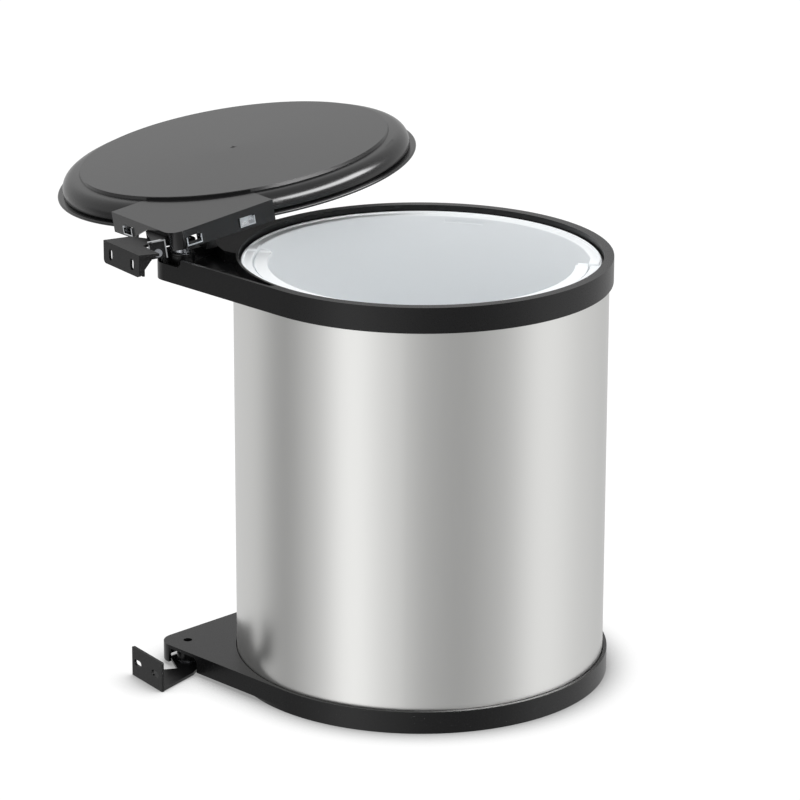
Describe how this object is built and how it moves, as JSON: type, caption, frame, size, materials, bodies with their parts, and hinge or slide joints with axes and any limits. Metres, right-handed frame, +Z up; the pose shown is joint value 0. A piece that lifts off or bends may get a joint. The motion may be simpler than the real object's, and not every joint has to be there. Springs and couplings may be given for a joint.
{
  "type": "built-in trash can",
  "caption": "Round swing-out bin for a kitchen cupboard: steel bucket in black frames with a square pivot corner, white liner with a bail, and a lid that lifts as the bin swings out.",
  "frame": {"origin": "centre of the round base's underside, on the bin's upright axis", "axes": "+Z up; -X towards the cupboard's side wall that carries the brackets; -Y towards the cupboard's open front"},
  "size_m": [0.3199, 0.4815, 0.3575],
  "materials": {
    "black_abs": "satin moulded black ABS",
    "lid_abs": "semi-gloss moulded black ABS with a finely etched top",
    "brushed_stainless": "rolled stainless sheet, brushed upright",
    "rivet_aluminium": "plain blind rivet",
    "zinc_plated_steel": "bright zinc plate",
    "black_coated_steel": "black powder coat",
    "chromed_steel": "bright chromed sheet",
    "white_polypropylene": "satin moulded white polypropylene",
    "acetal": "plain black acetal"
  },
  "bodies": {
    "wall_brackets": {"upper_bracket": "black_coated_steel", "lower_bracket": "black_coated_steel", "upper_pivot_pin": "zinc_plated_steel", "lower_pivot_pin": "zinc_plated_steel", "upper_pin_clip": "zinc_plated_steel", "lid_hinge_pin": "zinc_plated_steel", "lid_hinge_clip": "zinc_plated_steel", "lower_thrust_washer": "zinc_plated_steel"},
    "bin": {"top_frame": "black_abs", "base_frame": "black_abs", "steel_shell": "brushed_stainless", "upper_pivot_bush": "acetal", "lower_pivot_bush": "acetal", "top_frame_rivets": "rivet_aluminium", "base_frame_rivets": "rivet_aluminium"},
    "liner": {"inner_liner": "white_polypropylene"},
    "bail": {"bail_handle": "white_polypropylene"},
    "lid": {"lid_shell": "lid_abs", "lid_hinge_plate": "black_coated_steel", "lid_spring_clips": "chromed_steel", "lid_plate_screws": "zinc_plated_steel", "lid_shoe": "acetal"}
  },
  "joints": [
    {"name": "bin_swing", "type": "hinge", "parent": "wall_brackets", "child": "bin", "pos_m": [-0.13737, 0.09619, 0.15], "axis": [0, 0, 1], "range_deg": [0, 79]},
    {"name": "lid_tilt", "type": "hinge", "parent": "wall_brackets", "child": "lid", "pos_m": [-0.15537, 0.10269, 0.3118], "axis": [-0.3907, -0.9205, 0], "range_deg": [-8.3, 0]},
    {"name": "liner_lift", "type": "slide", "parent": "bin", "child": "liner", "axis": [0, 0, 1], "range_m": [0, 0.008]},
    {"name": "bail_swing", "type": "hinge", "parent": "liner", "child": "bail", "pos_m": [0.00614, 0.00658, 0.2996], "axis": [-0.7314, 0.682, 0], "range_deg": [0, 7]}
  ],
  "couplings": [
    {"joint": "lid_tilt", "follows": "bin_swing", "ratio": -0.105}
  ]
}
